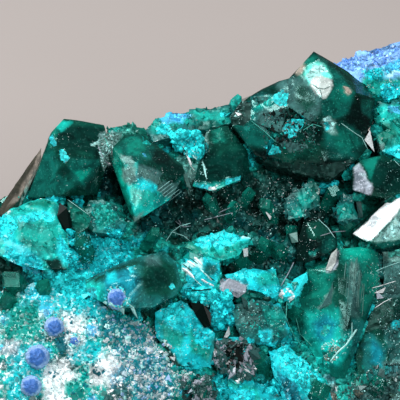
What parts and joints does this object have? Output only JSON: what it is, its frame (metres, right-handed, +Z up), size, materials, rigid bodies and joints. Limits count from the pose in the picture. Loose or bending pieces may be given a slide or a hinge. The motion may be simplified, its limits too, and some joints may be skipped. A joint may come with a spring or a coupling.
{
  "type": "mineral specimen",
  "caption": "Hand specimen of dioptase: emerald green crystals crowded on a rock with a cyan copper silicate crust and a patch of white quartz druse",
  "frame": {"origin": "under the middle of the specimen, on the flat base that it rests on", "axes": "+X to the right of someone facing the crystals, +Y away from that person, +Z up"},
  "size_m": [0.05, 0.04, 0.0267],
  "materials": {
    "emerald": "clear emerald green crystal with glossy natural faces",
    "teal": "cloudy teal crystal dusted with cyan copper silicate",
    "smoky": "thin smoky brown plate, half clear",
    "quartz": "sugary white quartz grains with small blue balls",
    "crusted_rock": "rough rock under a cyan and teal mineral crust"
  },
  "bodies": {
    "root": {"peak_crystals": "emerald", "centre_crystal": "emerald", "left_crystal": "emerald", "valley_crystal": "emerald", "pale_faced_crystal": "emerald", "bright_crystal": "emerald", "dark_crystal": "emerald", "upright_crystal": "emerald", "right_edge_crystals": "emerald", "near_crystal": "emerald", "left_cluster": "emerald", "left_front_cluster": "emerald", "left_rear_cluster": "emerald", "rear_cluster": "emerald", "right_rear_cluster": "emerald", "right_outer_cluster": "emerald", "right_front_cluster": "emerald", "front_cluster": "emerald", "pale_crystal": "teal", "back_ridge_crystals": "teal", "far_ridge_crystals": "teal", "right_ridge_crystals": "teal", "small_teal_crystal": "teal", "middle_crystal": "teal", "left_cyan_crystal": "teal", "left_small_crystals": "teal", "front_crystals": "teal", "plate_crystal": "teal", "cyan_chip": "teal", "lower_crystals": "teal", "diagonal_crystal": "teal", "lower_right_block": "teal", "smoky_plate": "smoky", "quartz_druse": "quartz", "matrix_rock": "crusted_rock"}
  },
  "joints": []
}
